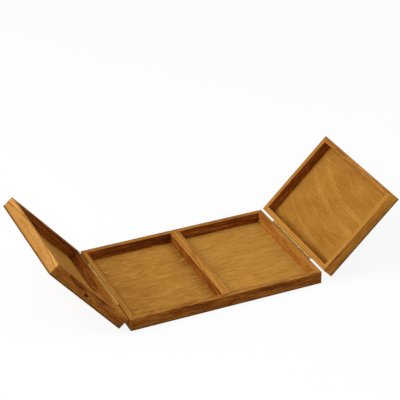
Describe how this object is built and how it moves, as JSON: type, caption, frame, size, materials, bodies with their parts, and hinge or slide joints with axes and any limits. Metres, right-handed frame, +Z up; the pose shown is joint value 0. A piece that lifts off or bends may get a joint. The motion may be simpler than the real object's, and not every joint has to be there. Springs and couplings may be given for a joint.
{
  "type": "hinged wooden case",
  "caption": "Flat stained-wood case with a divided base tray and tray lids hinged at both short ends on brass piano hinges, for keeping and showing small flat things.",
  "frame": {"origin": "middle of the base's underside", "axes": "+X along the case's length towards the right lid, +Y to the back rail, +Z up"},
  "size_m": [0.5355, 0.202, 0.1349],
  "materials": {
    "stained_rail_wood": "honey stain, satin",
    "stained_plywood": "honey stain, satin",
    "hinge_brass": "rolled, lightly polished",
    "pin_steel": "drawn wire",
    "screw_brass": "turned"
  },
  "bodies": {
    "base": {"base_front_rail": "stained_rail_wood", "base_back_rail": "stained_rail_wood", "base_left_rail": "stained_rail_wood", "base_right_rail": "stained_rail_wood", "base_bottom_panel": "stained_plywood", "base_divider": "stained_rail_wood", "left_hinge_base_leaf": "hinge_brass", "left_hinge_pin": "pin_steel", "left_hinge_base_screws": "screw_brass", "right_hinge_base_leaf": "hinge_brass", "right_hinge_pin": "pin_steel", "right_hinge_base_screws": "screw_brass"},
    "left_lid": {"left_lid_front_rail": "stained_rail_wood", "left_lid_back_rail": "stained_rail_wood", "left_lid_hinge_rail": "stained_rail_wood", "left_lid_meeting_rail": "stained_rail_wood", "left_lid_top_panel": "stained_plywood", "left_hinge_lid_leaf": "hinge_brass", "left_hinge_lid_screws": "screw_brass"},
    "right_lid": {"right_lid_front_rail": "stained_rail_wood", "right_lid_back_rail": "stained_rail_wood", "right_lid_hinge_rail": "stained_rail_wood", "right_lid_meeting_rail": "stained_rail_wood", "right_lid_top_panel": "stained_plywood", "right_hinge_lid_leaf": "hinge_brass", "right_hinge_lid_screws": "screw_brass"}
  },
  "joints": [
    {"name": "left_lid_hinge", "type": "hinge", "parent": "base", "child": "left_lid", "pos_m": [-0.1516, 0, 0.01915], "axis": [0, -1, 0], "range_deg": [-129.9, 50.1]},
    {"name": "right_lid_hinge", "type": "hinge", "parent": "base", "child": "right_lid", "pos_m": [0.1516, 0, 0.01915], "axis": [0, 1, 0], "range_deg": [-135.8, 44.2]}
  ]
}
